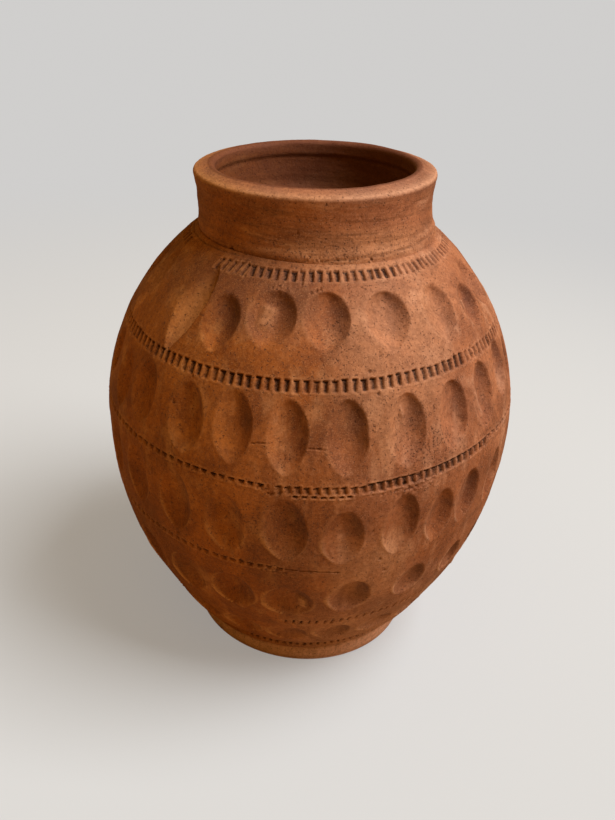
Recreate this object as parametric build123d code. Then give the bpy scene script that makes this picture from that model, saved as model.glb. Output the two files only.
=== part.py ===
"""A wide-mouthed jar of unglazed red clay, with five rows of thumb presses round its wall.

The potter makes four sections and lutes them together before firing: a foot disc, a bowl, a
shoulder thrown as a dome with an open top, and a collar with a rolled lip. As thrown jars do,
this one leans a little on its foot, and its lip has drifted off the wall's axis. Z is up, the
table is at zero, and the front of the jar faces -Y.
"""
from build123d import *
from math import pi, radians, sqrt, tan
import os

# Outline, in millimetres: radii from the axis, heights from the table
foot_radius = 75.0
foot_height = 15.0
foot_edge_bevel = 2.5
heel_radius = 80.5
heel_rounding = 3.5
belly_radius = 130.3
belly_height = 163.5
shoulder_height = 283.5
neck_root_radius = 72.8
neck_waist_radius = 68.3
neck_rise = 36.0
lip_radius = 70.2
mouth_radius = 58.5
lip_rounding = 4.6

# Clay thickness and the corners inside
wall_thickness = 9.0
floor_thickness = 10.0
floor_corner_rounding = 12.0

# Joins between the sections
join_slope = 4.0
neck_groove_width = 3.2
belly_join_share = 0.622
neck_waist_share = 0.42
lip_start_share = 0.78

# How the jar stands: the wall's lean to the left, and how far its lip drifts and tips there
wall_lean = 1.32
lip_drift = 5.2
lip_tip = 1.9

# Thumb presses: one thumb, pressed longer or shorter in each row and set a pitch apart
press_width = 25.0
press_depth = 4.5
press_overrun = 3.0
top_press_length = 32.0
top_press_pitch = 30.0
upper_press_length = 42.0
upper_press_pitch = 29.8
middle_press_length = 43.0
middle_press_pitch = 31.2
lower_press_length = 37.0
lower_press_pitch = 32.6
heel_press_width = 16.0
heel_press_depth = 1.6
heel_press_length = 23.0
heel_press_pitch = 29.4

# Where each row runs, as a share of the wall between the foot and the neck, and how many
# degrees to the right of the front its first press lies
top_row_share = 0.916
upper_row_share = 0.722
middle_row_share = 0.512
lower_row_share = 0.291
heel_row_share = 0.130
top_press_angle = 4.1
upper_press_angle = -4.9
middle_press_angle = -4.1
lower_press_angle = -2.5
heel_press_angle = -3.5
front_angle = -90.0

# Sizes that follow from the ones above
wall_rise = shoulder_height - foot_height
floor_top = foot_height + floor_thickness
belly_join_height = foot_height + belly_join_share * wall_rise
bowl_drop = belly_radius - heel_radius
bowl_fall = belly_height - foot_height
bowl_sweep = (bowl_drop ** 2 + bowl_fall ** 2) / (2 * bowl_drop)
shoulder_drop = belly_radius - neck_root_radius
shoulder_climb = shoulder_height - belly_height
shoulder_sweep = (shoulder_drop ** 2 + shoulder_climb ** 2) / (2 * shoulder_drop)
bore_radius = neck_waist_radius - wall_thickness


def sweep_at(height):
    """The radius of the arc that the wall follows at this height."""
    return bowl_sweep if height < belly_height else shoulder_sweep


def wall_radius(height, depth=0):
    """How far the wall's skin is from the axis, at a depth below the outer skin."""
    sweep = sweep_at(height)
    return belly_radius - sweep + sqrt((sweep - depth) ** 2 - (height - belly_height) ** 2)


def arc_point(low, high, depth=0):
    """A point of the wall's skin half way between two heights."""
    middle = (low + high) / 2
    return (wall_radius(middle, depth), middle)


def wall_section():
    """Half of the bowl and shoulder cut down the middle, from the floor to the neck."""
    inner_sweep = shoulder_sweep - wall_thickness
    inner_reach = bore_radius - (belly_radius - shoulder_sweep)
    bore_low = belly_height + sqrt(inner_sweep ** 2 - inner_reach ** 2)
    floor_reach = wall_radius(floor_top, wall_thickness)
    belly_inside = belly_radius - wall_thickness

    outer = [
        Line((0, foot_height), (heel_radius, foot_height)),
        ThreePointArc((heel_radius, foot_height), arc_point(foot_height, belly_height),
                      (belly_radius, belly_height)),
        ThreePointArc((belly_radius, belly_height), arc_point(belly_height, shoulder_height),
                      (neck_root_radius, shoulder_height)),
        Line((neck_root_radius, shoulder_height), (bore_radius, shoulder_height)),
    ]
    inner = [
        Line((bore_radius, shoulder_height), (bore_radius, bore_low)),
        ThreePointArc((bore_radius, bore_low), arc_point(belly_height, bore_low, wall_thickness),
                      (belly_inside, belly_height)),
        ThreePointArc((belly_inside, belly_height),
                      arc_point(floor_top, belly_height, wall_thickness), (floor_reach, floor_top)),
        Line((floor_reach, floor_top), (0, floor_top)),
        Line((0, floor_top), (0, foot_height)),
    ]
    face = make_face([*outer, *inner])

    def corner(radius, height):
        return face.vertices().sort_by_distance((radius, height, 0))[0]

    face = fillet(corner(heel_radius, foot_height), heel_rounding)
    face = fillet(corner(floor_reach, floor_top), floor_corner_rounding)
    return face - neck_groove()


def neck_groove():
    """The V that a tool runs round the join of shoulder and neck, cut across."""
    side = neck_groove_width / sqrt(2)
    return Pos(neck_root_radius, shoulder_height) * Rectangle(side, side, 45)


def below_join(height, slope=0):
    """The space under a join: a half plane whose edge rises by the slope across the wall."""
    reach = 2 * belly_radius
    radius = wall_radius(height)
    rise = slope / wall_thickness
    return make_face(Polyline(
        (0, -reach), (reach, -reach),
        (reach, height + rise * (reach - radius)), (0, height - rise * radius),
        close=True,
    ))


def thumb_tip(radius, sweep, width, length, depth):
    """What a thumb takes out of the wall: the rim of a lens, which two crossing balls make.

    Its tip lies a depth inside the skin, on the X axis, and the lens stands upright. Its rim and
    its balls are bent so that it meets the curved skin on an oval of this width and length, with
    a crease down the middle.
    """
    rim = 1 / (2 * depth / (length / 2) ** 2 - 1 / sweep)
    side = width / 2
    sunk = depth - side ** 2 / (2 * radius)
    offset = (2 * rim * sunk - sunk ** 2 - side ** 2) / width
    ball = sqrt(rim ** 2 + offset ** 2)
    lens = (Pos(0, offset, 0) * Sphere(ball)) & (Pos(0, -offset, 0) * Sphere(ball))
    tip = lens & Pos(-rim, 0, 0) * Box(2 * (depth + press_overrun), 2 * ball, 2 * ball)
    return Pos(rim - depth, 0, 0) * tip


def press_row(share, width, length, depth, pitch, first_angle):
    """Cutters for one row of presses, square to the wall, as many as go round it at the pitch."""
    height = foot_height + share * wall_rise
    radius, sweep = wall_radius(height), sweep_at(height)
    tip = thumb_tip(radius, sweep, width, length, depth)
    out = (radius - belly_radius + sweep) / sweep
    up = (height - belly_height) / sweep
    on_wall = Plane(origin=(radius, 0, height), x_dir=(out, 0, up), z_dir=(-up, 0, out))
    count = round(2 * pi * radius / pitch)
    places = PolarLocations(0, count, start_angle=front_angle + first_angle)
    return [place * on_wall.location * tip for place in places]


def leaned(section):
    """Tips a section to the left, as the wall stands."""
    return Rot(0, -wall_lean, 0) * section


def foot():
    """The turned disc that the bowl is luted to, which takes up the wall's lean at its top."""
    reach = 4 * foot_radius
    tall = foot_height + foot_radius * tan(radians(2 * wall_lean))
    disc = Pos(0, 0, tall / 2) * Cylinder(foot_radius, tall)
    above = leaned(Pos(0, 0, foot_height + reach / 2) * Box(reach, reach, reach))
    return chamfer(disc.edges().group_by(Axis.Z)[0], foot_edge_bevel) - above


def neck_ring(radius, share):
    """A circle round the neck, at a share of its rise, drifted and tipped as the lip is."""
    height = shoulder_height + share * neck_rise
    return Pos(-share * lip_drift, 0, height) * Rot(0, -share * lip_tip, 0) * Circle(radius)


def collar():
    """The neck: lofted from its root over its waist to the lip, bored and rounded at the mouth."""
    outside = loft([
        neck_ring(neck_root_radius, 0), neck_ring(neck_waist_radius, neck_waist_share),
        neck_ring(lip_radius, lip_start_share), neck_ring(lip_radius, 1),
    ])
    bore = loft([neck_ring(bore_radius, 0), neck_ring(mouth_radius, 1)])
    neck = outside - bore
    rim = neck.faces().sort_by(Axis.Z)[-1]
    neck = fillet(rim.edges(), lip_rounding)
    return neck - revolve(Plane.XZ * neck_groove(), Axis.Z)


def section(face, presses=()):
    """One thrown section: its half outline turned round the axis, then pressed."""
    ring = revolve(Plane.XZ * face, Axis.Z)
    return ring - [*presses] if presses else ring


whole_wall = wall_section()
under_belly_join = below_join(belly_join_height, join_slope)

top_row = press_row(top_row_share, press_width, top_press_length, press_depth,
                    top_press_pitch, top_press_angle)
upper_row = press_row(upper_row_share, press_width, upper_press_length, press_depth,
                      upper_press_pitch, upper_press_angle)
middle_row = press_row(middle_row_share, press_width, middle_press_length, press_depth,
                       middle_press_pitch, middle_press_angle)
lower_row = press_row(lower_row_share, press_width, lower_press_length, press_depth,
                      lower_press_pitch, lower_press_angle)
heel_row = press_row(heel_row_share, heel_press_width, heel_press_length, heel_press_depth,
                     heel_press_pitch, heel_press_angle)

sections = {
    "foot_disc": foot(),
    "lower_bowl": leaned(section(whole_wall & under_belly_join, middle_row + lower_row + heel_row)),
    "shoulder_dome": leaned(section(whole_wall - under_belly_join, top_row + upper_row)),
    "neck_collar": leaned(collar()),
}

# The leaning belly's middle stands over the origin, so the foot is a little to the right of it
spans = [solid.bounding_box() for solid in sections.values()]
middle = (min(span.min.X for span in spans) + max(span.max.X for span in spans)) / 2

os.makedirs("parts", exist_ok=True)
for name, solid in sections.items():
    export_step(Pos(-middle, 0, 0) * solid, f"parts/{name}.step")
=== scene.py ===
"""A hand-thrown jar of unglazed red clay, with rows of thumb presses and bands of notches.

The potter throws the wall in courses, lutes them together, presses the wall with a thumb and runs
notched bands between the rows. Sizes are in millimetres and become metres where a mesh is made.
Angles round the jar are in degrees, from its front towards its right. Leans and turns are in
radians.
"""
import math
import random

import bpy
import numpy as np
from mathutils import Matrix, Vector


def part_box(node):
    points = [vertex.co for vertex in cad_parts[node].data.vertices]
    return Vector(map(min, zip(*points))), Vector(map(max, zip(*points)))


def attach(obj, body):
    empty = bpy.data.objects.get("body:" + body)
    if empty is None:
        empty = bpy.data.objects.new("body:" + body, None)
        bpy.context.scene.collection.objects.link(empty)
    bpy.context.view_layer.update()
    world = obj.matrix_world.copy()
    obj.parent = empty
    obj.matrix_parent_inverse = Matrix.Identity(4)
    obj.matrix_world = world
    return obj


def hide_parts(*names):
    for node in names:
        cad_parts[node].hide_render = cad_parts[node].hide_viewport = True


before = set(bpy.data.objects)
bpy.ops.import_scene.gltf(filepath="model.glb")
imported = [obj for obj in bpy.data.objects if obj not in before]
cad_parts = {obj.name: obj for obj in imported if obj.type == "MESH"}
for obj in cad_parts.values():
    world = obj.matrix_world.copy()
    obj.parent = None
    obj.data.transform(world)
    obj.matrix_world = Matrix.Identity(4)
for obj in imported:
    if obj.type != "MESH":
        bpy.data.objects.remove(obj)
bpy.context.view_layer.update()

MM = 0.001

# The foot, as the frame gives it, and where it stands
FOOT_LOW, FOOT_HIGH = (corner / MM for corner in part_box("foot_disc"))
FOOT_RADIUS = (FOOT_HIGH.x - FOOT_LOW.x) / 2
FOOT_CENTRE = (FOOT_HIGH.x + FOOT_LOW.x) / 2

# Heights along the wall's own axis
FOOT_TOP = 15.0
BELLY_JOIN = 182.0
NECK_ROOT = 283.5
RIM_TOP = 320.3

# The wall's outline
HEEL_RADIUS = 81.0
HEEL_ROUNDING = 2.6
BELLY_RADIUS = 131.0
BELLY_HEIGHT = 163.5
NECK_ROOT_RADIUS = 71.5
WALL_THICKNESS = 9.0
FLOOR_TOP = 25.0
FLOOR_CORNER = 12.0
JOIN_SLOPE = 4.0

# Hollows round the bowl, a slight wide one and the narrow waist just above the foot: their depth,
# height and reach
HOLLOWS = ((1.9, 54.0, 25.0), (4.0, 24.0, 5.5))

# The outside of the neck above its root: heights above the root, and radii
NECK_HEIGHTS = (0.0, 1.8, 3.6, 5.6, 8.0, 12.0, 18.0, 24.0, 28.5, 31.0)
NECK_RADII = (70.6, 71.0, 70.6, 69.8, 69.2, 68.8, 68.7, 68.9, 69.5, 70.1)

# The lip, whose top slopes down outwards, and the shallow ledge inside the mouth
LIP_RADIUS = 70.3
LIP_DROP = 2.0
LIP_OUTER_ROUNDING = 2.3
LIP_INNER_ROUNDING = 3.0
MOUTH_RADIUS = 57.8
THROAT_RADIUS = 58.9
THROAT_FLARE_HEIGHT = 12.0
LEDGE_DROP = 9.4
LEDGE_REACH = 1.5
LEDGE_DEPTH = 0.35
LEDGE_WIDTH = 0.9

# The foot's rounded edge, and its side: heights, and how far it swells past the foot's radius
FOOT_EDGE_ROUNDING = 1.5
FOOT_EDGE_SWELL = 0.2
FOOT_SIDE_START = 2.2
FOOT_SWELL_HEIGHTS = (1.6, 5.0, 9.0, 12.5, 15.0)
FOOT_SWELLS = (1.7, 2.9, 3.2, 3.2, 2.6)

# Arcs of the outline: where they start and end, from the outward direction, and their steps
FOOT_ARC = (-90, 0, 4)
HEEL_ARC = (-90, -25, 5)
FLOOR_ARC = (-15, -90, 6)
LIP_OUTER_ARC = (-10, 74, 9)
LIP_INNER_ARC = (82, 180, 9)

# Rings on the flat faces of the foot, the heel and the floor: how far in from the edge they lie,
# and the radius of the floor's inner one
FOOT_INSET = 4.0
FOOT_TOP_INSET = 8.0
HEEL_INSET = 6.0
MIDDLE_INSET = 30.0
FLOOR_INSET = 40.0
FLOOR_MIDDLE_RADIUS = 20.0

# How the jar leans: the whole wall on its foot, and the neck on the wall. The shifts are in
# millimetres to the right, at each height.
WALL_LEAN = 0.023
SHIFT_HEIGHTS = (0.0, 22.0, 60.0, 110.0, 270.5, 283.5, 292.0, 301.0, 320.3)
SHIFTS = (1.2, 1.2, 0.8, 0.0, 0.0, -1.0, -2.9, -3.9, -4.7)
NECK_TILT = 0.034
NECK_LEAN_START = 270.5

# How finely the courses are made: points round them, and steps along the outline
COLUMNS = 1296
HIDDEN_COLUMNS = COLUMNS // 4
COLLAR_COLUMNS = 960
LAST_STEP = 0.6
CLOSE_STEP = 0.8
THROAT_STEP = 1.0
PLAIN_STEP = 1.1
INSIDE_STEP = 6.0

# Where bands of notches run on the wall: from, to and the step along the outline there
BAND_ZONES = ((17, 24, 0.5), (63, 73, 0.5), (118, 129, 0.5), (174, 191, 0.42), (202, 206, 0.5),
              (227, 242, 0.42), (271, 284, 0.42))

# Heights at which the wall is cut into courses, besides the join at the belly
HEEL_CUT = 68.0
BOWL_CUT = 127.0
SHOULDER_CUT = 218.0
UPPER_CUT = 250.0

# A flat map of the wall, on which each place finds the mark that is nearest. Marks are copied
# past its seam at the back, up to this angle.
MAP_RADIUS = 110.0
MAP_REACH = 215.0


def smooth_step(low, high, value):
    """0 below low, 1 above high and an S curve between them."""
    share = np.clip((value - low) / (high - low), 0, 1)
    return share * share * (3 - 2 * share)


def placed(name, data):
    """A new object of the scene with this data."""
    made = bpy.data.objects.new(name, data)
    bpy.context.collection.objects.link(made)
    return made


def store(mesh, label, values):
    """Keeps one number or one vector with each point of a mesh."""
    if values.ndim == 1:
        mesh.attributes.new(label, "FLOAT", "POINT").data.foreach_set("value", values)
    else:
        kept = mesh.attributes.new(label, "FLOAT_VECTOR", "POINT")
        kept.data.foreach_set("vector", values.ravel())


def sweep(rise, drop):
    """The radius of the arc that leaves the belly upright and drops so far over this rise."""
    return (drop ** 2 + rise ** 2) / (2 * drop)


BOWL_SWEEP = sweep(BELLY_HEIGHT - FOOT_TOP, BELLY_RADIUS - HEEL_RADIUS)
SHOULDER_SWEEP = sweep(NECK_ROOT - BELLY_HEIGHT, BELLY_RADIUS - NECK_ROOT_RADIUS)


def wall_radius(height, depth=0.0):
    """How far the wall's skin is from the axis, at a depth below the outer skin."""
    height = np.asarray(height, float)
    arc = np.where(height < BELLY_HEIGHT, BOWL_SWEEP, SHOULDER_SWEEP)
    hollow = sum(deep * np.exp(-((height - middle) / wide) ** 2) for deep, middle, wide in HOLLOWS)
    reach = np.maximum((arc - depth) ** 2 - (height - BELLY_HEIGHT) ** 2, 0)
    return BELLY_RADIUS - arc + np.sqrt(reach) - hollow


def rows_between(low, high):
    """Heights from low to high, close together where a band of notches runs."""
    heights = [low]
    while heights[-1] < high - LAST_STEP:
        steps = [step for start, end, step in BAND_ZONES if start <= heights[-1] <= end]
        heights.append(heights[-1] + (steps[0] if steps else PLAIN_STEP))
    heights[-1] = high
    return np.array(heights)


def rounded(centre, radius, arc):
    """Points on an arc of a circle."""
    start, end, steps = arc
    turn = np.radians(np.linspace(start, end, steps + 1))
    return np.column_stack([centre[0] + radius * np.cos(turn), centre[1] + radius * np.sin(turn)])


def skin(points, columns, side):
    """A stretch of outline: radius, height, the normal's two parts, its columns and its side.

    The side is 1 outside, -1 inside and 0 on a face that nothing is carved in.
    """
    points = np.asarray(points, float)
    along = np.gradient(points, axis=0)
    along /= np.linalg.norm(along, axis=1)[:, None]
    extra = np.tile([columns, side], (len(points), 1))
    return np.column_stack([points, along[:, 1], -along[:, 0], extra])


def outer_skin(low, high):
    """The wall's outside between two heights, going up."""
    heights = rows_between(low, high)
    return skin(np.column_stack([wall_radius(heights), heights]), COLUMNS, 1)


def inner_skin(high, low):
    """The wall's inside between two heights, going down."""
    heights = np.linspace(high, low, max(2, round((high - low) / INSIDE_STEP)) + 1)
    points = np.column_stack([wall_radius(heights, WALL_THICKNESS), heights])
    return skin(points, HIDDEN_COLUMNS, -1)


def flat_disc(start, end, height, side=0):
    """A flat disc between two radii, closed by one point on the axis.

    It faces down where it goes out from the axis, and up where it goes in.
    """
    ring = skin([(start, height), (end, height)], HIDDEN_COLUMNS, side)
    goes_out = start < end
    centre = (ring[:1] if goes_out else ring[-1:]).copy()
    centre[0, 0], centre[0, 4] = 0, 1
    return np.vstack([centre, ring] if goes_out else [ring, centre])


def leaned(places, heights):
    """Tips the wall on its foot, and the neck on the wall."""
    out = places.copy()
    on_neck = np.clip((heights - NECK_LEAN_START) / (RIM_TOP - NECK_LEAN_START), 0, 1)
    x = out[:, 0].copy()
    out[:, 0] += np.interp(heights, SHIFT_HEIGHTS, SHIFTS)
    out[:, 2] += NECK_TILT * x * on_neck
    standing = smooth_step(0, FOOT_TOP, heights)
    x = out[:, 0].copy()
    z = out[:, 2].copy()
    out[:, 0] += FOOT_CENTRE - WALL_LEAN * z * standing
    out[:, 2] += WALL_LEAN * x * standing
    return out


def ring_faces(first, count, after, after_count):
    """Faces between one ring of points and the next, which may have more, fewer or one."""
    here = np.arange(max(count, after_count))
    ahead = (here + 1) % len(here)
    if count == after_count:
        return np.column_stack([first + here, first + ahead, after + ahead, after + here]), None
    if count == 1:
        return None, np.column_stack([np.full_like(here, first), after + ahead, after + here])
    if after_count == 1:
        return None, np.column_stack([first + here, first + ahead, np.full_like(here, after)])
    coarse, fine = min(count, after_count), max(count, after_count)
    share = fine // coarse
    middle = share // 2
    wide_from, close_from, order = (after, first, 1) if count > after_count else (first, after, -1)
    edge = np.arange(coarse)
    wide = wide_from + np.column_stack([edge, (edge + 1) % coarse])
    close = [close_from + (edge * share + step) % fine for step in range(share + 1)]
    faces = [(close[k], close[k + 1], wide[:, int(k >= middle)]) for k in range(share)]
    faces.append((close[middle], wide[:, 1], wide[:, 0]))
    return None, np.concatenate([np.column_stack(face[::order]) for face in faces])


def course_faces(counts, firsts, closed):
    """The faces with four corners and with three, from each ring of a course to the next."""
    quads = [np.zeros((0, 4), int)]
    triangles = [np.zeros((0, 3), int)]
    for index in range(len(counts) if closed else len(counts) - 1):
        after = (index + 1) % len(counts)
        four, three = ring_faces(firsts[index], counts[index], firsts[after], counts[after])
        if four is not None:
            quads.append(four)
        if three is not None:
            triangles.append(three)
    return np.concatenate(quads), np.concatenate(triangles)


def mark_sharp(mesh, ring, side):
    """Marks the rings of edges on which one side of a course meets another as sharp."""
    ends = np.zeros(2 * len(mesh.edges), np.int32)
    mesh.edges.foreach_get("vertices", ends)
    ends = ring[ends.reshape(-1, 2)]
    at_cut = (side != np.roll(side, -1)) | (side != np.roll(side, 1))
    sharp = (ends[:, 0] == ends[:, 1]) & at_cut[ends[:, 0]]
    mesh.attributes.new("sharp_edge", "BOOLEAN", "EDGE").data.foreach_set("value", sharp)


def unroll(mesh, corners, starts, angle, up):
    """A layout of the skin: round the jar from left to right, along the outline upwards."""
    across = (angle[corners] + 180) / 360
    face_of = np.repeat(np.arange(len(starts)), np.diff(np.append(starts, len(corners))))
    widest = np.maximum.reduceat(across, starts)
    least = np.minimum.reduceat(across, starts)
    past_seam = widest - least > 0.5
    across = np.where(past_seam[face_of] & (across < 0.25), across + 1, across)
    layout = np.column_stack([across, up[corners]]).astype(np.float32)
    mesh.uv_layers.new(name="OFBake").uv.foreach_set("vector", layout.ravel())


def turned(name, outline, closed=True):
    """A mesh object turned from an outline, whose points carry what the carving reads."""
    counts = outline[:, 4].astype(int)
    side = outline[:, 5]
    firsts = np.concatenate([[0], np.cumsum(counts)[:-1]])
    ring = np.repeat(np.arange(len(counts)), counts)
    angle = np.concatenate([np.linspace(-180, 180, count, endpoint=False) if count > 1
                            else np.zeros(1) for count in counts])
    turn = np.radians(angle)
    radius, height = outline[ring, 0], outline[ring, 1]
    spoke = np.column_stack([np.sin(turn), -np.cos(turn), np.zeros(len(turn))])
    places = spoke * radius[:, None]
    places[:, 2] = height
    outward = spoke * outline[ring, 2][:, None]
    outward[:, 2] = outline[ring, 3]

    quads, triangles = course_faces(counts, firsts, closed)
    corners = np.concatenate([quads.ravel(), triangles.ravel()])
    starts = np.concatenate([np.arange(len(quads)) * 4,
                             quads.size + np.arange(len(triangles)) * 3])
    mesh = bpy.data.meshes.new(name)
    mesh.vertices.add(len(places))
    mesh.vertices.foreach_set("co", (leaned(places, height) * MM).ravel())
    mesh.loops.add(len(corners))
    mesh.loops.foreach_set("vertex_index", corners.astype(np.int32))
    mesh.polygons.add(len(starts))
    mesh.polygons.foreach_set("loop_start", starts.astype(np.int32))
    mesh.polygons.foreach_set("use_smooth", np.ones(len(starts), bool))
    mesh.update(calc_edges=True)
    mark_sharp(mesh, ring, side)
    for label, values in (("angle", angle), ("height", height), ("radius", radius),
                          ("side", side[ring]), ("outward", outward)):
        store(mesh, label, values)

    step = np.linalg.norm(np.diff(outline[:, :2], axis=0), axis=1)
    travel = np.concatenate([[0], np.cumsum(step)])
    unroll(mesh, corners, starts, angle, travel[ring] / travel[-1])
    return placed(name, mesh)


# Node trees


class Signal:
    """A socket of a node tree. Arithmetic on it adds Math nodes to the tree."""

    def __init__(self, tree, socket):
        self.tree = tree
        self.socket = socket

    def math(self, operation, *others):
        return node(self.tree, "ShaderNodeMath", (self, *others), operation=operation)

    def swapped(self, operation, other):
        return node(self.tree, "ShaderNodeMath", (other, self), operation=operation)

    def __add__(self, other):
        return self.math("ADD", other)

    def __radd__(self, other):
        return self.swapped("ADD", other)

    def __sub__(self, other):
        return self.math("SUBTRACT", other)

    def __rsub__(self, other):
        return self.swapped("SUBTRACT", other)

    def __mul__(self, other):
        return self.math("MULTIPLY", other)

    def __rmul__(self, other):
        return self.swapped("MULTIPLY", other)

    def __truediv__(self, other):
        return self.math("DIVIDE", other)

    def __pow__(self, other):
        return self.math("POWER", other)

    def __neg__(self):
        return self.math("MULTIPLY", -1.0)

    def __abs__(self):
        return self.math("ABSOLUTE")

    def above(self, other):
        return self.math("GREATER_THAN", other)

    def at_least(self, other):
        return self.math("MAXIMUM", other)

    def at_most(self, other):
        return self.math("MINIMUM", other)

    def held(self):
        """This value held between 0 and 1."""
        return node(self.tree, "ShaderNodeClamp", (self, 0.0, 1.0))

    def ramp(self, low, high, to_low=0.0, to_high=1.0):
        """An S curve from to_low, where this value is low, to to_high, where it is high."""
        return node(self.tree, "ShaderNodeMapRange",
                    {"Value": self, "From Min": low, "From Max": high,
                     "To Min": to_low, "To Max": to_high}, interpolation_type="SMOOTHSTEP")


def node(tree, kind, sockets=(), out=0, **settings):
    """Adds a node: its settings first, then the values or links of its sockets."""
    made = tree.nodes.new(kind)
    for name, value in settings.items():
        setattr(made, name, value)
    pairs = sockets.items() if isinstance(sockets, dict) else enumerate(sockets)
    for key, value in pairs:
        if isinstance(value, Signal):
            tree.links.new(value.socket, made.inputs[key])
        else:
            made.inputs[key].default_value = value
    return Signal(tree, made.outputs[out])


def cleared_tree(owner):
    """The node tree of a material or world, with nothing in it."""
    owner.use_nodes = True
    owner.node_tree.nodes.clear()
    return owner.node_tree


def end_tree(tree, kind, result):
    """Links what a tree makes to its output node."""
    tree.links.new(result.socket, tree.nodes.new(kind).inputs[0])


def noise(place, scale, detail=2.0, roughness=0.5, distortion=0.0):
    """Noise from 0 to 1, round its middle value of a half."""
    return node(place.tree, "ShaderNodeTexNoise",
                {"Vector": place, "Scale": scale, "Detail": detail, "Roughness": roughness,
                 "Distortion": distortion})


def stretched(place, x, y, z):
    """A place with its three parts scaled apart, so that noise on it is drawn out."""
    return node(place.tree, "ShaderNodeVectorMath", (place, (x, y, z)), operation="MULTIPLY")


def mixed(share, first, second, way="MIX"):
    """A blend of two colours, each from a node or given by its red, green and blue."""
    first, second = (colour if isinstance(colour, Signal) else (*colour, 1)
                     for colour in (first, second))
    return node(share.tree, "ShaderNodeMix", {0: share, 6: first, 7: second}, out=2,
                data_type="RGBA", blend_type=way)


# Thumb presses and notches, as marks on the flat map

# Each press that the front shows: angle, height, width, length and how it is turned. Some also
# say where their crease lies, how pointed they are and how deep for their row. The rest of the
# row carries on round the back at the row's count, from the row's first angle.
PRESS_ROWS = (
    {"width": 24.0, "length": 32.0, "depth": 5.2, "count": 20, "height": 261.0, "first": 4.1,
     "seen": ((-71, 256, 18, 50, -0.1, 0.5, 0.3, 1.5), (-43, 257.5, 19, 58, -0.12, 0.62, 0.4, 1.35),
              (-29.7, 255, 23, 32, 0.05), (-13.6, 261, 27, 32, -0.1), (4.1, 262, 25, 33, 0.0),
              (24.1, 261.5, 26, 33, -0.05), (45, 260, 24, 34, -0.1), (62.5, 256.5, 20, 27, -0.1))},
    {"width": 23.0, "length": 41.0, "depth": 4.8, "count": 26, "height": 209.0, "first": -4.9,
     "seen": ((-72, 212, 16, 30, 0.0), (-60, 205, 20, 36, 0.0), (-48.2, 208, 22, 38, 0.0),
              (-32, 206, 24, 40, 0.03), (-18.6, 209, 22.5, 40, 0.05), (-4.9, 208, 22, 41, 0.0),
              (9.7, 209, 23, 42, 0.0), (25.2, 210, 23, 41, -0.04), (40, 211, 23, 40, -0.05),
              (53.4, 213.5, 21, 40, -0.06), (66.4, 219, 19, 36, -0.08))},
    {"width": 24.0, "length": 42.0, "depth": 4.4, "count": 26, "height": 152.0, "first": -4.1,
     "seen": ((-62, 157, 20, 38, 0.0), (-48.6, 155, 22, 40, 0.04), (-33.6, 153, 22, 42, 0.0),
              (-19, 150, 23, 41, 0.05), (-4.1, 152, 25, 43, 0.1), (10.2, 148, 24, 38, 0.0),
              (24.8, 152.5, 22, 42, -0.05), (36.6, 150.5, 20, 37, -0.05),
              (46.5, 155.0, 21, 37, -0.06), (60, 154, 20, 38, -0.1))},
    {"width": 26.0, "length": 36.0, "depth": 5.8, "count": 23, "height": 94.0, "first": -2.5,
     "seen": ((-66, 97, 16, 24, 0.0, 0.2, 0, 0.3), (-50, 93, 24, 36, 0.0), (-34, 93, 25, 36, 0.0),
              (-18.5, 94, 27, 34, 0.1), (-2.8, 92, 30, 31, 0.1), (14.3, 97, 26, 32, -0.2),
              (32.3, 101, 22, 28, -0.2, 0.15, 0, 0.7), (48.5, 103, 18, 26, -0.1, 0.2, 0, 0.6))},
    {"width": 24.0, "length": 21.0, "depth": 2.6, "count": 22, "height": 50.0, "first": -3.5,
     "seen": ((-3.5, 48, 26, 22, 0.0), (12.7, 51, 24, 23, -0.2))},
)

# Kinds of notch: across, down and deep, then how far apart in a run, how much they fade out
# downwards, their turn, the clay they push up and how soft their edges are
NOTCH_KINDS = {
    "box": ((3.4, 7.0, 1.9), 4.95, 0.15, 0.0, 0.14, 0.5),
    "close_box": ((3.3, 6.8, 1.8), 4.75, 0.15, 0.0, 0.14, 0.5),
    "shallow_box": ((2.7, 6.6, 1.1), 4.3, 0.0, 0.05, 0.15, 0.5),
    "comma": ((3.5, 3.2, 2.2), 5.4, 0.85, -0.1, 0.2, 0.4),
    "tall": ((3.7, 5.2, 1.6), 4.95, 0.4, 0.2, 0.2, 0.5),
    "dash": ((2.8, 1.6, 1.9), 4.95, 0.0, 0.1, 0.3, 0.4),
    "step": ((3.9, 5.6, 1.8), 4.9, 0.3, 0.05, 0.2, 0.5),
    "slit": ((2.2, 7.8, 1.5), 4.4, 0.1, -0.25, 0.3, 0.5),
    "hair": ((1.2, 8.0, 0.7), 2.2, 0.1, 0.0, 0.0, 0.5),
    "stroke": ((1.8, 6.0, 2.2), 5.0, 0.15, -0.15, 0.1, 0.4),
    "dot": ((2.4, 2.6, 1.8), 4.6, 0.0, 0.0, 0.1, 0.4),
}

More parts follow.
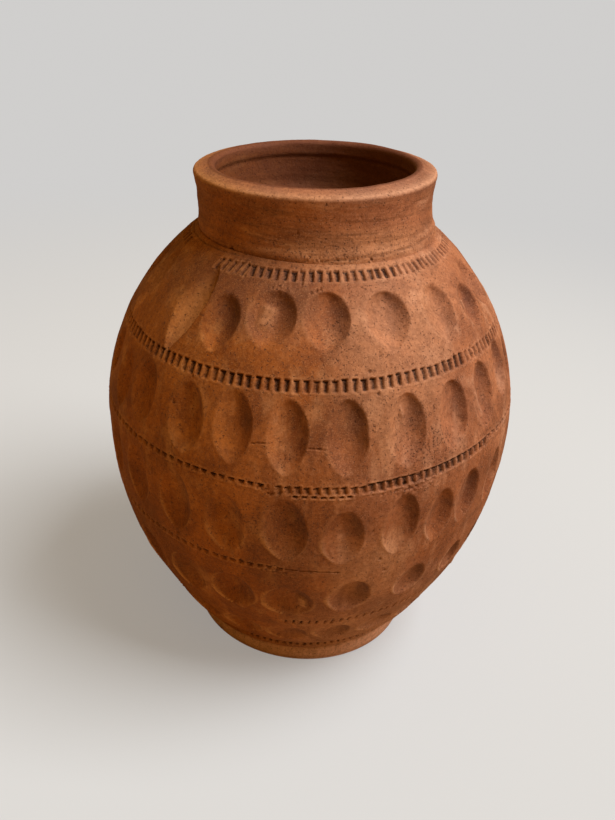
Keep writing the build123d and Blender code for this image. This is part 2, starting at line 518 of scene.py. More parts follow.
# Runs of notches: kind, then the angle and height where the run starts and where it ends
NOTCH_RUNS = (
    ("hair", -70, 278.0, -52, 278.0), ("slit", -43, 277.4, -27, 277.9),
    ("close_box", -27, 277.9, 0, 278.9), ("close_box", 0, 278.9, 34, 279.6),
    ("shallow_box", 34, 279.6, 66, 279.6), ("close_box", 66, 279.6, 290, 278.0),
    ("box", -74, 230.5, -20, 232.0), ("box", -20, 232.0, 48, 236.5),
    ("shallow_box", 48, 236.5, 62, 236.6), ("box", 62, 236.4, 120, 235.4),
    ("box", 120, 235.4, 286, 230.5),
    ("comma", -72, 181.6, -9, 180.2), ("tall", -7, 179.4, 15, 180.2),
    ("dash", -3, 176.2, 12, 176.6), ("step", 15, 180.8, 40, 184.2),
    ("step", 40, 184.2, 53, 186.4), ("comma", 53, 187.4, 70, 188.5),
    ("step", 70, 188.0, 150, 187.0), ("comma", 150, 186.5, 288, 182.0),
    ("comma", -70, 125.0, -4, 123.6), ("comma", 60, 124.0, 290, 125.5),
    ("stroke", -5, 67.0, 10, 68.2), ("stroke", 10, 68.2, 44, 74.0),
    ("dot", -24, 20.4, 44, 20.6), ("dot", 60, 20.6, 320, 20.6),
)

# Lines cut with the corner of a tool: where they start and end, their width and their depth. Each
# is cut in short lengths that overlap.
SCORED_LINES = (
    (-5, 124.2, 9.8, 122.4, 1.1, 1.0), (-180, 283.0, -76, 281.6, 1.2, 0.9),
    (-76, 281.4, -32, 282.4, 1.1, 0.7), (-32, 282.4, -6, 282.6, 0.9, 0.35),
    (-74, 286.0, -36, 285.8, 0.9, 0.4), (-13.3, 203.0, -10.2, 204.2, 0.8, 0.7),
    (0.3, 203.9, 4.4, 203.3, 0.8, 0.7), (38.6, 258.1, 39.7, 255.1, 0.9, 0.8),
    (15, 183.5, 40, 187.0, 0.9, 0.9), (40, 187.0, 56, 189.6, 0.9, 0.9),
    (1.9, 285.2, 17.6, 286.1, 1.2, 0.7), (17.6, 286.1, 40, 287.3, 1.0, 0.45),
    (40, 287.3, 67, 288.8, 1.2, 0.7), (67, 288.8, 100, 286.0, 1.2, 0.7),
    (100, 286.0, 180, 283.0, 1.2, 0.9), (15, 134.5, 21, 134.0, 0.5, 0.25),
    (19, 137.2, 27, 138.0, 0.5, 0.25), (64, 187.4, 74, 188.5, 1.2, 0.8),
)
SCORED_LENGTH = 4.2
SCORED_STEP = 2.4

# Lumps left in the presses: angle, height, width, length and how far they stand up
LUMPS = (
    (-15.4, 261.5, 12, 16, 1.5), (24.3, 219.5, 4, 8, 0.9), (1.2, 88.5, 8, 10, 2.0),
    (52.6, 208.0, 8, 18, 1.1), (61.0, 257.5, 6, 9, 1.4), (-2.4, 160.0, 7, 9, 0.6),
    (-20, 150.0, 8, 10, 0.6), (9.5, 146.0, 9, 9, 0.7), (160, 259.0, 8, 10, 1.6),
    (-140, 208.0, 7, 12, 1.2), (110, 150.0, 8, 12, 1.3), (200, 92.0, 8, 10, 1.4),
)

# Where the clay is torn and crumbly: the middle, the reach in degrees and in height, and how many
# crumbs lie there
CRUMB_PATCHES = (
    (-8, 178, 3, 3, 24), (28, 178, 6, 4, 46), (22, 175, 6, 2, 16), (-7, 122.5, 4, 2.5, 26),
    (-2, 121, 5, 1.5, 12), (53, 237, 4, 4, 18), (-12, 274, 14, 2, 12), (6, 287, 20, 2, 12),
    (200, 181, 20, 4, 40), (120, 236, 14, 4, 30),
)
OPEN_PITS = 150

# Where the clay is gritty: the middle, and the reach in degrees and in height
GRIT_PATCHES = (
    (29, 200, 12, 20), (-2, 158, 6, 14), (8, 258, 6, 16), (4, 289, 38, 9), (33, 196, 9, 12),
    (58, 192, 10, 16), (-13, 160, 10, 12), (150, 200, 18, 22), (-120, 262, 16, 14),
    (205, 150, 20, 20),
)

# What the carving is set to: shares of the marks' own depths, and the skin's roughness
CARVING_SETTINGS = {"Press depth share": 1.0, "Notch depth share": 1.0, "Roughness mm": 0.1}


def all_presses():
    """Every thumb press, as place, size and way: its crease, its fullness and how pointed it is."""
    random.seed(11)
    marks = []
    for row in PRESS_ROWS:
        presses = list(row["seen"])
        first_seen, last_seen = presses[0][0], presses[-1][0]
        pitch = 360 / row["count"]
        clear = 0.7 * pitch
        for index in range(row["count"]):
            angle = (row["first"] + index * pitch - last_seen) % 360 + last_seen
            if last_seen + clear < angle < first_seen + 360 - clear:
                presses.append((angle + random.uniform(-0.6, 0.6),
                                row["height"] + random.uniform(-1.5, 1.5),
                                row["width"] * random.uniform(0.9, 1.08),
                                row["length"] * random.uniform(0.94, 1.05),
                                random.uniform(-0.08, 0.08)))
        for angle, height, width, length, turn, *shape in presses:
            depth = row["depth"] * random.uniform(0.92, 1.12)
            crease, pointed, deeper = shape or (random.uniform(0.08, 0.34), 0, 1)
            way = (crease, random.uniform(1.8, 2.4), pointed)
            marks.append(((angle, height, turn), (width, length, depth * deeper), way))
    return marks


def all_notches():
    """Every notch, run by run, each a little out of line with the last."""
    random.seed(23)
    marks = []
    for kind, start, low, end, high in NOTCH_RUNS:
        (width, length, depth), step, fade, turn, burr, soft = NOTCH_KINDS[kind]
        radius = float(wall_radius((low + high) / 2))
        count = max(1, round(math.radians(end - start) * radius / step))
        for index in range(count):
            share = (index + 0.5 + random.uniform(-0.06, 0.06)) / count
            place = (start + (end - start) * share,
                     low + (high - low) * share + random.uniform(-0.2, 0.2),
                     turn + random.uniform(-0.07, 0.07))
            size = (width * random.uniform(0.9, 1.1), length * random.uniform(0.92, 1.08),
                    depth * random.uniform(0.75, 1.2))
            marks.append((place, size, (fade, burr, soft)))
    return marks


def all_scars():
    """Scored lines in short lengths, lumps, crumbs and small pits."""
    random.seed(37)
    marks = []
    for start, low, end, high, width, depth in SCORED_LINES:
        radius = float(wall_radius(min((low + high) / 2, NECK_ROOT)))
        across = math.radians(end - start) * radius
        count = max(1, round(math.hypot(across, high - low) / SCORED_STEP))
        turn = math.atan2(high - low, across)
        for index in range(count):
            share = (index + 0.5) / count
            height = low + (high - low) * share + random.uniform(-0.08, 0.08)
            size = (SCORED_LENGTH, width * random.uniform(0.85, 1.2),
                    depth * random.uniform(0.6, 1.2))
            marks.append(((start + (end - start) * share, height, turn), size, (0, 0.03, 0.45)))
    for angle, height, width, length, rise in LUMPS:
        place = (angle, height, random.uniform(-0.3, 0.3))
        marks.append((place, (width, length, -rise), (0.3, 0, width * 0.42)))
    for angle, height, reach, rise, count in CRUMB_PATCHES:
        for _ in range(count):
            width = random.uniform(1.1, 2.0)
            place = (angle + random.uniform(-reach, reach), height + random.uniform(-rise, rise),
                     random.uniform(-1, 1))
            size = (width, width * random.uniform(0.8, 1.6), width * random.uniform(-0.35, 0.5))
            marks.append((place, size, (0, 0.1, 0.5)))
    for _ in range(OPEN_PITS):
        width = random.choice((1.2, 1.3, 1.5, 1.9))
        place = (random.uniform(-180, 180), random.uniform(40, 314), random.uniform(-1, 1))
        size = (width, width * random.uniform(0.8, 1.3), width * 0.4)
        marks.append((place, size, (0, 0, 0.5)))
    return marks


def mark_points(name, marks):
    """Points on the flat map, one for each mark, with copies beyond the back seam."""
    doubled = []
    for (angle, height, turn), size, way in marks:
        angle = (angle + 180) % 360 - 180
        for shift in (-360, 0, 360):
            if abs(angle + shift) < MAP_REACH:
                doubled.append(((angle + shift, height, turn), size, way))
    place, size, way = (np.array([mark[k] for mark in doubled], float) for k in range(3))
    mesh = bpy.data.meshes.new(name)
    mesh.vertices.add(len(doubled))
    across = np.radians(place[:, 0]) * MAP_RADIUS
    flat = np.column_stack([across, place[:, 1], np.zeros(len(place))])
    mesh.vertices.foreach_set("co", flat.ravel())
    for label, values in (("place", place), ("size", size), ("way", way)):
        store(mesh, label, values)
    return placed(name, mesh)


def carving_tree():
    """Nodes that press, notch, score and roughen the skin of a course of the wall."""
    tree = bpy.data.node_groups.new("carve_the_wall", "GeometryNodeTree")
    face = tree.interface
    face.new_socket("Geometry", in_out="OUTPUT", socket_type="NodeSocketGeometry")
    inputs = {"Geometry": "Geometry", "Presses": "Object", "Notches": "Object", "Scars": "Object",
              "Clay": "Material", **dict.fromkeys(CARVING_SETTINGS, "Float")}
    for name, kind in inputs.items():
        face.new_socket(name, in_out="INPUT", socket_type="NodeSocket" + kind)
    given = tree.nodes.new("NodeGroupInput")

    def given_as(name):
        return Signal(tree, given.outputs[name])

    def named(label, kind="FLOAT"):
        return node(tree, "GeometryNodeInputNamedAttribute", {"Name": label}, data_type=kind)

    def parts(vector):
        made = tree.nodes.new("ShaderNodeSeparateXYZ")
        tree.links.new(vector.socket, made.inputs[0])
        return [Signal(tree, output) for output in made.outputs]

    angle, height, radius, side = (named(label) for label in ("angle", "height", "radius", "side"))
    outward = named("outward", "FLOAT_VECTOR")
    out_x, out_y, _ = parts(outward)
    upright = (out_x ** 2.0 + out_y ** 2.0) ** 0.5
    outside = side.above(0.5)
    place = node(tree, "GeometryNodeInputPosition")
    flat = node(tree, "ShaderNodeCombineXYZ", (angle * math.radians(MAP_RADIUS), height, 0.0))

    def nearest(object_name):
        """Where this place is from the nearest mark, and what the mark says of itself."""
        marks = node(tree, "GeometryNodeObjectInfo", {"Object": given_as(object_name)},
                     out="Geometry")
        index = node(tree, "GeometryNodeSampleNearest",
                     {"Geometry": marks, "Sample Position": flat})
        read = []
        for label in ("place", "size", "way"):
            value = named(label, "FLOAT_VECTOR")
            value = node(tree, "GeometryNodeSampleIndex",
                         {"Geometry": marks, "Value": value, "Index": index},
                         data_type="FLOAT_VECTOR")
            read.append(parts(value))
        (mark_angle, mark_height, turn), size, way = read
        up = (height - mark_height) / upright.at_least(0.3)
        aside = (angle - mark_angle) * radius * math.radians(1)
        across = aside * turn.math("COSINE") + up * turn.math("SINE")
        along = up * turn.math("COSINE") - aside * turn.math("SINE")
        return across, along, size, way

    def dent(object_name, waver, bitten):
        """What the nearest notch or scar takes away, the burr that it pushes up and its dark:
        painted shade by its depth, with dirt.

        A bitten one has a deep cut along its top and a ragged groove down its middle.
        """
        across, along, (width, length, depth), (fade, burr, soft) = nearest(object_name)
        across = across + waver
        from_left, from_right = width * 0.5 + across, width * 0.5 - across
        from_top, from_foot = length * 0.5 - along, length * 0.5 + along
        taken = from_left.ramp(0.0, soft) * from_right.ramp(0.0, soft)
        taken = taken * from_top.ramp(0.0, soft * 0.7)
        if bitten:
            down = (from_top / length).held()
            slope = (from_left / (width * 0.66)).at_most(from_right / (width * 0.34)).held()
            body = (0.15 + 0.75 * slope) * (1.0 - fade * down) * from_foot.ramp(0.0, soft * 2.2)
            taken = taken * body.at_least(1.0 - from_top.ramp(0.7, 1.4))
        else:
            taken = taken * from_foot.ramp(0.0, soft)
        beyond = (-from_left).at_least(-from_right - 0.3)
        beyond = beyond.at_least(-from_top - 0.4).at_least(-from_foot)
        pushed = burr * (1.0 - abs(beyond - 0.4) / 0.8).held()
        taken = depth * taken * outside
        return taken, pushed * outside, taken.at_least(0.0) * soft.ramp(1.2, 2.0, 1.0, 0.0)

    # Noise that marks and skin share
    ripple = noise(place, 160.0, 3.0) - 0.5
    grit = noise(place, 700.0, 2.0, 0.6) - 0.5
    soft_wave = noise(place, 60.0, 1.0) - 0.5

    # The nearest thumb press, the clay banked up on its left and the painted shade, partly a stain,
    # in its right and upper part
    across, along, (width, length, depth), (crease, fullness, pointed) = nearest("Presses")
    reach = along / (length * 0.5)
    room = (1.0 - reach * reach).at_least(0.0)
    lower = (-reach).ramp(-0.3, 0.8)
    waist = room ** (0.5 + lower * 0.2 + pointed)
    share = across / ((width * 0.5) * waist).at_least(0.01) + soft_wave * 0.22
    off_crease = share - crease
    right = off_crease / (1.0 - crease)
    left = -off_crease / (1.0 + crease)
    spread = right.at_least(left)
    edge = 1.0 + left.above(right) * 0.4
    press = depth * (room ** (0.5 + lower * 0.5)) * (1.0 - spread.held() ** fullness) ** edge
    press = press * given_as("Press depth share") * outside
    rim = (1.0 - abs(spread - 1.04) * 6.0).held() * room.ramp(0.0, 0.25) * outside
    banked = rim * (left.above(right) * 0.7 + 0.3) * lower.ramp(0.0, 0.6, 0.3, 1.0)
    banked = banked * height.ramp(120.0, 190.0, 1.0, 0.25)
    # Painted shade, partly a stain, in the right and upper part of the press
    stain = right.ramp(-0.4, 0.7) * (1.0 - right.ramp(0.85, 1.05))
    stain = stain * reach.ramp(-0.9, 0.5) * room.ramp(0.0, 0.2) * outside

    # The nearest notch and the nearest scar
    notch, notch_burr, notch_dark = dent("Notches", grit * 0.7, True)
    notch = notch * (1.0 + grit * 1.6).at_least(0.1) * given_as("Notch depth share")
    scar, scar_burr, scar_dark = dent("Scars", grit * 0.5, False)
    burr = notch_burr * (0.8 + grit * 2.5) + scar_burr

    gritty = 0.0
    for patch_angle, patch_height, wide, tall in GRIT_PATCHES:
        aside = (angle - patch_angle) / wide
        above = (height - patch_height) / tall
        gritty = (1.0 - (aside * aside + above * above)).held() + gritty
    # A pale ring along the lip's outer edge: a painted highlight
    lip_edge_highlight = (1.0 - abs(height - (RIM_TOP - LIP_DROP - 0.8)) / 1.8).held() * outside

    # The skin's roughness, drawn out upwards on the wall and round on the neck
    wave = noise(stretched(place, 1.0, 1.0, 0.8), 22.0, 1.0) - 0.5
    wiped = noise(stretched(place, 1.0, 1.0, 0.12), 420.0, 2.0) - 0.5
    rings = noise(stretched(place, 0.06, 0.06, 1.0), 260.0, 2.0) - 0.5
    neck = height.ramp(NECK_ROOT - 4.0, NECK_ROOT + 2.0).at_least(1.0 - outside)
    rough = ripple * 0.35 + grit * 0.18 + wave + wiped * 0.14 * (1.0 - neck) + rings * 0.7 * neck
    rough = rough * given_as("Roughness mm") * 10.0 * height.ramp(0.0, 3.0) * abs(side).held()

    move = rough - press - notch - scar + burr + banked * 0.5
    offset = node(tree, "ShaderNodeVectorMath", {0: outward, "Scale": move * MM},
                  operation="SCALE")
    shape = node(tree, "GeometryNodeSetPosition",
                 {"Geometry": given_as("Geometry"), "Offset": offset})
    # Paler where the clay stands up: wear on banks, burrs and lumps, and painted highlight on the
    # lit left rims of the presses and on the lip's edge
    raised = banked * 1.1 + pointed * press * 0.35 + burr * 1.6 + lip_edge_highlight * 0.9
    read_by_clay = {"height": height, "stain": stain, "gritty": gritty,
                    "notched": notch_dark * (1.0 + grit * 1.2) + scar_dark,
                    "raised": raised - scar.at_most(0.0) * 0.3, "inner_side": 1.0 - outside}
    for label, value in read_by_clay.items():
        shape = node(tree, "GeometryNodeStoreNamedAttribute",
                     {"Geometry": shape, "Name": label, "Value": value},
                     data_type="FLOAT", domain="POINT")
    shape = node(tree, "GeometryNodeRealizeInstances", {"Geometry": shape})
    shape = node(tree, "GeometryNodeSetMaterial",
                 {"Geometry": shape, "Material": given_as("Clay")})
    end_tree(tree, "NodeGroupOutput", shape)
    return tree


def carve(smooth, tree, inputs):
    """Turns the smooth course into a plain mesh with the carving applied."""
    ids = {item.name: item.identifier for item in tree.interface.items_tree
           if item.in_out == "INPUT"}
    modifier = smooth.modifiers.new("carving", "NODES")
    modifier.node_group = tree
    for name, value in inputs.items():
        modifier[ids[name]] = value
    seen = smooth.evaluated_get(bpy.context.evaluated_depsgraph_get())
    mesh = bpy.data.meshes.new_from_object(seen)
    smooth.modifiers.clear()
    spent = smooth.data
    smooth.data = mesh
    mesh.name = smooth.name
    bpy.data.meshes.remove(spent)


# The fired clay

# Its colours, as linear red, green and blue. The first three are pairs to blend between, each a
# shaded copy for the left and a lit copy for the right: painted light.
SHADED_LEFT_CLAY = ((0.345, 0.092, 0.005), (0.43, 0.130, 0.012))
LIT_RIGHT_CLAY = ((0.34, 0.107, 0.034), (0.44, 0.164, 0.072))
RUBBED_CLAY_SHADED_AND_LIT = ((0.62, 0.27, 0.08), (0.66, 0.34, 0.20))
MOTTLED = (0.64, 0.58, 0.55)
LIT_LOW_RIGHT = (0.62, 0.32, 0.19)
FOOT_PAINTED_LIGHT = (0.74, 0.39, 0.25)
LIP_PAINTED_SHADE = (0.31, 0.14, 0.085)
LIP_TOP_SHADE = (0.15, 0.050, 0.030)
LEFT_SHOULDER_SHADE = (0.13, 0.044, 0.014)
SMUDGED = (0.15, 0.048, 0.016)
WIPED_STREAK = (0.18, 0.055, 0.014)
TURNED_STREAK = (0.16, 0.048, 0.010)
PRESS_SHADE_AND_STAIN = (0.13, 0.045, 0.026)
NOTCH_SHADE_AND_DIRT = (0.040, 0.011, 0.004)
GRAINED = (0.58, 0.53, 0.50)
SPECK = (0.07, 0.021, 0.009)
THROAT_SHADE = (0.105, 0.022, 0.005)

# Soft dark and pale patches of painted light and shade: painted shade on the left and the lower
# front of the belly, painted light and highlight on the right of the shoulder, belly and neck; the
# first, below the neck at the front left, is the neck's painted shadow and in part a stain. Each
# gives the place and reach across in metres and up in millimetres, the strength and the tint
LIGHT_AND_SHADE_PATCHES = (
    (-0.031, 268, 0.044, 21, 0.85, (0.18, 0.056, 0.019)),
    (-0.088, 95, 0.036, 62, 0.80, (0.17, 0.042, 0.003)),
    (-0.010, 135, 0.026, 50, 0.55, (0.15, 0.048, 0.020)),
    (0.041, 246, 0.040, 56, 0.38, (0.64, 0.32, 0.17)),
    (0.040, 118, 0.028, 36, 0.40, (0.64, 0.32, 0.16)),
    (0.016, 290, 0.046, 15, 0.45, (0.60, 0.28, 0.13)),
)


def fired_clay():
    """Unglazed red clay: mottled, darker in the marks by painted shade, pinker and paler where
    painted light falls, paler where it is rubbed, with fine grit.
    """
    material = bpy.data.materials.new("fired_red_clay")
    tree = cleared_tree(material)
    place = node(tree, "ShaderNodeTexCoord", out="Object")
    across = node(tree, "ShaderNodeSeparateXYZ", (place,), out="X")
    height, notched, raised, stain, gritty, inside = (
        node(tree, "ShaderNodeAttribute", out="Fac", attribute_name=label)
        for label in ("height", "notched", "raised", "stain", "gritty", "inner_side"))

    # Noise, from the widest to the finest, and streaks up the wall and round the neck
    flattened = stretched(place, 1.0, 1.0, 0.45)
    drawn_round = stretched(place, 0.35, 0.35, 1.3)
    on_neck = height.ramp(NECK_ROOT + 1.0, NECK_ROOT + 5.0)
    cloud = noise(place, 11.0, 4.0, 0.55, 0.3)
    mottle = noise(place, 42.0, 5.0, 0.62, 0.6)
    smudge = noise(flattened, 30.0, 6.0, 0.68, 0.8)
    smudge = smudge + (noise(drawn_round, 48.0, 5.0, 0.65, 0.5) - smudge) * on_neck
    rub = noise(flattened, 55.0, 5.0, 0.65, 0.2)
    rub = rub + (noise(drawn_round, 60.0, 5.0, 0.65, 0.2) - rub) * on_neck
    grain = noise(place, 420.0, 4.0, 0.7)
    speck = noise(place, 900.0, 2.0, 0.6)
    fine = noise(place, 1900.0, 2.0, 0.7)
    wiped = noise(stretched(place, 1.0, 1.0, 0.06), 380.0, 3.0, 0.6)
    ringed = noise(stretched(place, 0.05, 0.05, 1.0), 420.0, 4.0, 0.65)

    # The body of the clay, with painted light: orange on the shaded left, pinker on the lit right
    # and towards the shoulder
    # Painted light: the share of the lit copy grows to the right and up towards the shoulder, with
    # some cloud noise
    lit_share = across + height.ramp(160.0, 285.0, 0.0, 0.035) + (cloud - 0.5) * 0.15
    lit_share = lit_share.ramp(-0.05, 0.08)
    orange = mixed(cloud.ramp(0.36, 0.64), *SHADED_LEFT_CLAY)
    pink = mixed(cloud.ramp(0.36, 0.64), *LIT_RIGHT_CLAY)
    # Pale rubbed clay, its shaded copy on the left and its lit copy on the right
    pale = mixed(lit_share, *RUBBED_CLAY_SHADED_AND_LIT)
    colour = mixed(lit_share, orange, pink)

    def lay(share, tint, way="MIX"):
        """Lays a tint over the colour so far."""
        nonlocal colour
        colour = mixed(share, colour, tint, way)

    lay(mottle.ramp(0.36, 0.66), MOTTLED, "MULTIPLY")
    lay(rub.ramp(0.48, 0.70) * 0.50, pale)

    # Painted light on the lower right and on the foot, painted shade on the lip and the left of the
    # shoulder, patches of painted light and shade, then smudges and streaks
    # Painted light: the lower right of the bowl and heel paler, fading upwards
    lit_low_right = across.ramp(-0.035, 0.045) * height.ramp(22.0, 125.0, 0.5, 0.0)
    lay(lit_low_right, LIT_LOW_RIGHT)
    # Painted light: the foot painted paler, as if lit
    on_foot = 1.0 - height.ramp(11.0, 15.0)
    lay(on_foot * 0.85, FOOT_PAINTED_LIGHT)
    # Painted shade on the lip: darker and pinker all round, against the light on its upturned top
    on_lip = height.ramp(313.0, 318.0)
    lay(on_lip * 0.45, LIP_PAINTED_SHADE)
    # Patches of painted light and shade, broken up by the smudge noise
    for mark_x, mark_height, wide, tall, strength, tint in LIGHT_AND_SHADE_PATCHES:
        aside = (across - mark_x) * (1.0 / wide)
        above = (height - mark_height) * (1.0 / tall)
        spot = (aside * aside + above * above).ramp(0.1, 1.0, 1.0, 0.0)
        lay(spot * smudge.ramp(0.30, 0.60, 0.6, 1.0) * strength, tint)
    # Painted shade on the lip's top at the right, in patches
    lip_top_shade = on_lip * across.ramp(-0.015, 0.025) * rub.ramp(0.40, 0.58)
    lay(lip_top_shade * 0.42, LIP_TOP_SHADE)
    # Painted shade along the left edge of the shoulder, in patches
    left_shoulder_shade = (-across).ramp(0.050, 0.095) * height.ramp(238.0, 268.0) * (1.0 - on_neck)
    lay(left_shoulder_shade * smudge.ramp(0.35, 0.60) * 0.5, LEFT_SHOULDER_SHADE)
    lay(smudge.ramp(0.52, 0.68) * 0.42, SMUDGED)
    lay(wiped.ramp(0.48, 0.72) * (1.0 - on_neck) * 0.26, WIPED_STREAK)
    lay(ringed.ramp(0.48, 0.70) * (0.10 + on_neck * 0.45), TURNED_STREAK)

    # What the carving left: painted shade and stain in the presses, worn and highlit edges, and
    # notches darkened with painted shade and dirt
    # The painted shade in the presses and their pale rims are stronger in the lower rows
    low_rows = height.ramp(112.0, 132.0, 1.0, 0.0)
    shaded_and_stained = stain * (mottle * 2.4 - 0.55 + low_rows * 0.75).held()
    lay(shaded_and_stained * 0.75, PRESS_SHADE_AND_STAIN)
    lay((raised * (0.5 + rub + low_rows * 0.5)).held() * 0.8, pale)
    # Painted shade in the notches and scored lines by their depth, with dirt
    lay((notched * 0.78).held() ** 1.5 * 0.95, NOTCH_SHADE_AND_DIRT)

    # Grain and specks, and painted shade in the throat
    lay(grain.ramp(0.40, 0.62) * 0.55, GRAINED, "MULTIPLY")
    lay(fine.ramp(0.52, 0.72) * 0.42, pale)
    specks = (speck + gritty * 0.035).ramp(0.608, 0.69)
    lay(specks * 0.75, SPECK)
    lay(inside * 0.72, THROAT_SHADE)
    relief = grain * 0.9 + fine * 0.35 + wiped * 0.25 - specks * 0.8
    bump = node(tree, "ShaderNodeBump", {"Strength": 0.7, "Distance": 0.0006, "Height": relief})
    shader = node(tree, "ShaderNodeBsdfPrincipled", {
        "Base Color": colour, "Roughness": 0.66 + smudge * 0.25, "Normal": bump,
        "Specular IOR Level": 0.3})
    end_tree(tree, "ShaderNodeOutputMaterial", shader)
    return material


# The courses of the jar


def heel_course():
    """The bottom of the bowl: its underside, the heel and the wall up to the first cut."""
    under = flat_disc(FOOT_RADIUS - MIDDLE_INSET, FOOT_RADIUS - HEEL_INSET, FOOT_TOP)
    heel_centre = (HEEL_RADIUS - HEEL_ROUNDING, FOOT_TOP + HEEL_ROUNDING)
    heel = skin(rounded(heel_centre, HEEL_ROUNDING, HEEL_ARC), COLUMNS, 1)
    wall = outer_skin(FOOT_TOP + HEEL_ROUNDING, HEEL_CUT)
    corner_height = FLOOR_TOP + FLOOR_CORNER
    corner_radius = float(wall_radius(corner_height, WALL_THICKNESS))
    inside = inner_skin(HEEL_CUT, corner_height)
    corner_centre = (corner_radius - FLOOR_CORNER, corner_height)
    corner = skin(rounded(corner_centre, FLOOR_CORNER, FLOOR_ARC), HIDDEN_COLUMNS, -1)
    floor = flat_disc(corner_radius - FLOOR_INSET, FLOOR_MIDDLE_RADIUS, FLOOR_TOP, -1)
    return turned("bowl_heel_course", np.vstack([under, heel, wall, inside, corner, floor]),
                  closed=False)


def ring_course(name, low, high, low_drop=0.0, high_drop=0.0):
    """A course of the wall that is open above and below, cut level or on a slope."""
    inside = inner_skin(high - high_drop, low - low_drop)
    return turned(name, np.vstack([outer_skin(low, high), inside]))


def neck_outline():
    """The neck from its root up the outside, over the lip and down the inside."""
    heights = np.arange(0, NECK_HEIGHTS[-1], CLOSE_STEP)
    radii = np.interp(heights, NECK_HEIGHTS, NECK_RADII)
    radii = np.convolve(np.pad(radii, 2, "edge"), np.ones(5) / 5, "valid")
    outside = np.column_stack([radii, NECK_ROOT + heights])
    lip_centre = (LIP_RADIUS - LIP_OUTER_ROUNDING, RIM_TOP - LIP_DROP - LIP_OUTER_ROUNDING)
    lip_outer = rounded(lip_centre, LIP_OUTER_ROUNDING, LIP_OUTER_ARC)
    mouth_centre = (MOUTH_RADIUS + LIP_INNER_ROUNDING, RIM_TOP - LIP_INNER_ROUNDING)
    lip_inner = rounded(mouth_centre, LIP_INNER_ROUNDING, LIP_INNER_ARC)
    lip_top = np.linspace(lip_outer[-1], lip_inner[0], 6)[1:-1]
    up = skin(np.vstack([outside, lip_outer, lip_top]), COLLAR_COLUMNS, 1)

    bore = float(wall_radius(NECK_ROOT, WALL_THICKNESS))
    down = np.arange(RIM_TOP - LIP_INNER_ROUNDING - CLOSE_STEP, NECK_ROOT, -THROAT_STEP)
    ledge = RIM_TOP - LEDGE_DROP
    to_bore = smooth_step(NECK_ROOT + THROAT_FLARE_HEIGHT, NECK_ROOT, down)
    to_mouth = smooth_step(ledge - LEDGE_REACH, ledge + LEDGE_REACH, down)
    inner_radii = THROAT_RADIUS + (bore - THROAT_RADIUS) * to_bore
    inner_radii += (MOUTH_RADIUS - THROAT_RADIUS) * to_mouth
    inner_radii += LEDGE_DEPTH * np.exp(-((down - ledge) / LEDGE_WIDTH) ** 2)
    inside = np.column_stack([inner_radii, down])
    back = skin(np.vstack([lip_inner, inside, [(bore, NECK_ROOT)]]), COLLAR_COLUMNS, -1)
    return np.vstack([up, back])


def foot_outline():
    """The turned foot: a flat underside, a rounded edge and a side that swells a little."""
    under = flat_disc(FOOT_RADIUS - MIDDLE_INSET, FOOT_RADIUS - FOOT_INSET, 0.0)
    edge_centre = (FOOT_RADIUS + FOOT_EDGE_SWELL, FOOT_EDGE_ROUNDING)
    edge = rounded(edge_centre, FOOT_EDGE_ROUNDING, FOOT_ARC)
    heights = np.arange(FOOT_SIDE_START, FOOT_TOP, CLOSE_STEP)
    radii = [FOOT_RADIUS + swell for swell in FOOT_SWELLS]
    side = np.column_stack([np.interp(heights, FOOT_SWELL_HEIGHTS, radii), heights])
    side = np.vstack([edge, side, [(radii[-1], FOOT_TOP)]])
    top = flat_disc(FOOT_RADIUS - FOOT_TOP_INSET, FOOT_RADIUS - MIDDLE_INSET, FOOT_TOP)
    return np.vstack([under, skin(side, COLUMNS, 1), top])


presses = mark_points("press_marks", all_presses())
notches = mark_points("notch_marks", all_notches())
scars = mark_points("scar_marks", all_scars())
carving = carving_tree()
clay = fired_clay()
courses = (
    (turned("foot_ring", foot_outline(), closed=False), "foot_disc"),
    (heel_course(), "lower_bowl"),
    (ring_course("bowl_low_course", HEEL_CUT, BOWL_CUT), "lower_bowl"),
    (ring_course("bowl_belly_course", BOWL_CUT, BELLY_JOIN, 0, JOIN_SLOPE), "lower_bowl"),
    (ring_course("shoulder_low_course", BELLY_JOIN, SHOULDER_CUT, JOIN_SLOPE), "shoulder_dome"),
    (ring_course("shoulder_band_course", SHOULDER_CUT, UPPER_CUT), "shoulder_dome"),
    (ring_course("shoulder_top_course", UPPER_CUT, NECK_ROOT), "shoulder_dome"),
    (turned("neck_and_lip", neck_outline()), "neck_collar"),
)
for piece, cad_node in courses:
    carve(piece, carving, {"Presses": presses, "Notches": notches, "Scars": scars, "Clay": clay,
                           **CARVING_SETTINGS})
    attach(piece, "root")
    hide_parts(cad_node)
for marks in (presses, notches, scars):
    bpy.data.objects.remove(marks)


# Floor, light and camera, in metres and degrees unless a comment says otherwise

FLOOR_REACH = 60.0
FLOOR_COLOUR = (0.69, 0.735, 0.775, 1)
FLOOR_AS_LIT = (0.46, 0.32, 0.18, 1)
FAR_FLOOR = (0.63, 0.62, 0.61, 1)
BACKDROP = (0.62, 0.61, 0.6, 1)
ROOM_GLOW = (1.0, 0.58, 0.12, 1)
ROOM_GLOW_STRENGTH = 0.31

LAMP_AZIMUTH = 78
LAMP_ELEVATION = 57
LAMP_DISTANCE = 2.4
LAMP_SIZE = 1.5
LAMP_POWER = 79.0
LAMP_COLOUR = (1.0, 0.98, 0.97)
LAMP_AIM_HEIGHT = 0.16

# The camera: how far back and up it is in millimetres, its angles in radians, and its lens
CAMERA_BACK = 477.5
CAMERA_RISE = 427.9
CAMERA_PITCH = 0.5192
CAMERA_YAW = -0.0018
CAMERA_ROLL = -0.0576
CAMERA_LENS = 35.57


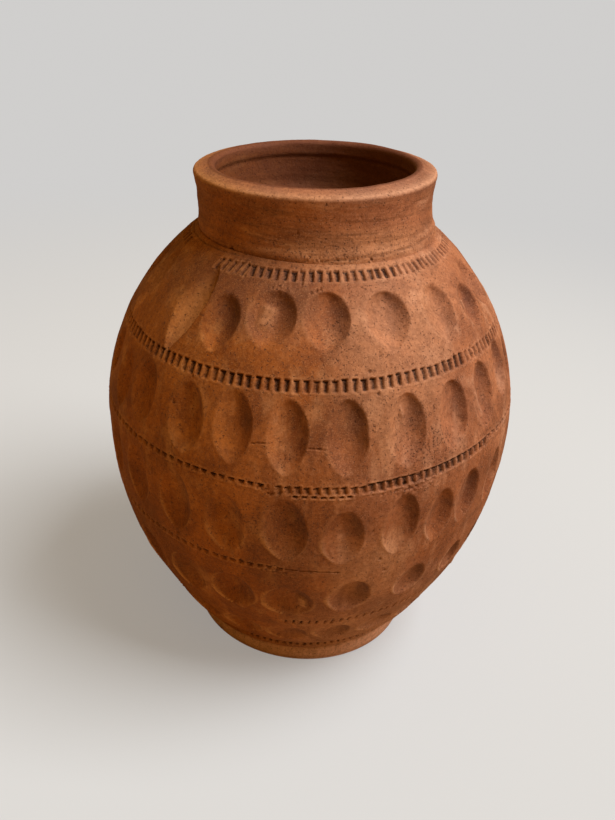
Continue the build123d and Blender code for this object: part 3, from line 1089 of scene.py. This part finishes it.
def pale_floor():
    """A wide floor that the camera sees as pale, while a duller and warmer one lights the jar."""
    mesh = bpy.data.meshes.new("pale_floor")
    square = ((-1, -1), (1, -1), (1, 1), (-1, 1))
    mesh.from_pydata([(x * FLOOR_REACH, y * FLOOR_REACH, 0) for x, y in square], [],
                     [(0, 1, 2, 3)])
    made = placed("pale_floor", mesh)
    material = bpy.data.materials.new("pale_floor")
    tree = cleared_tree(material)
    place = node(tree, "ShaderNodeTexCoord", out="Object")
    away = node(tree, "ShaderNodeVectorMath", (place,), out="Value", operation="LENGTH")
    camera_ray = node(tree, "ShaderNodeLightPath", out="Is Camera Ray")
    near = node(tree, "ShaderNodeBsdfDiffuse", (FLOOR_COLOUR, 0.5))
    far = node(tree, "ShaderNodeEmission", (FAR_FLOOR, 1.0))
    seen = node(tree, "ShaderNodeMixShader", (away.ramp(0.3, 1.2, 0.42, 1.0), near, far))
    as_lit = node(tree, "ShaderNodeBsdfDiffuse", (FLOOR_AS_LIT, 0.5))
    both = node(tree, "ShaderNodeMixShader", (camera_ray, as_lit, seen))
    end_tree(tree, "ShaderNodeOutputMaterial", both)
    mesh.materials.append(material)


def window_lamp():
    """A soft square lamp at the upper right that looks at the middle of the jar."""
    light = bpy.data.lights.new("window_lamp", "AREA")
    light.size = LAMP_SIZE
    light.energy = LAMP_POWER
    light.color = LAMP_COLOUR
    made = placed("window_lamp", light)
    turn, rise = math.radians(LAMP_AZIMUTH), math.radians(LAMP_ELEVATION)
    out = math.cos(rise)
    way = Vector((math.sin(turn) * out, -math.cos(turn) * out, math.sin(rise)))
    made.location = way * LAMP_DISTANCE + Vector((0, 0, LAMP_AIM_HEIGHT))
    made.rotation_euler = way.to_track_quat("Z", "Y").to_euler()


def dim_room():
    """A warm dim room that lights the jar, and a pale backdrop that the camera sees."""
    world = bpy.data.worlds.new("room")
    tree = cleared_tree(world)
    camera_ray = node(tree, "ShaderNodeLightPath", out="Is Camera Ray")
    glow = node(tree, "ShaderNodeBackground", (ROOM_GLOW, ROOM_GLOW_STRENGTH))
    backdrop = node(tree, "ShaderNodeBackground", (BACKDROP, 1.0))
    both = node(tree, "ShaderNodeMixShader", (camera_ray, glow, backdrop))
    end_tree(tree, "ShaderNodeOutputWorld", both)
    bpy.context.scene.world = world


def place_camera():
    """Puts the camera where the photograph was taken from."""
    forward = Vector((math.sin(CAMERA_YAW) * math.cos(CAMERA_PITCH),
                      math.cos(CAMERA_YAW) * math.cos(CAMERA_PITCH), -math.sin(CAMERA_PITCH)))
    level = Vector((math.cos(CAMERA_YAW), -math.sin(CAMERA_YAW), 0))
    down = forward.cross(level)
    right = math.cos(CAMERA_ROLL) * level + math.sin(CAMERA_ROLL) * down
    below = -math.sin(CAMERA_ROLL) * level + math.cos(CAMERA_ROLL) * down
    pose = Matrix((right, -below, -forward)).transposed().to_4x4()
    pose.translation = Vector((0, -CAMERA_BACK, CAMERA_RISE)) * MM
    aside = Matrix.Translation(Vector((FOOT_CENTRE, 0, 0)) * MM)
    data = bpy.data.cameras.new("camera")
    data.lens = CAMERA_LENS
    data.sensor_width = 36.0
    data.clip_end = 100
    made = placed("camera", data)
    made.matrix_world = aside @ Matrix.Rotation(-WALL_LEAN, 4, "Y") @ pose
    bpy.context.scene.camera = made


pale_floor()
window_lamp()
dim_room()
place_camera()
bpy.context.scene.view_settings.view_transform = "Standard"
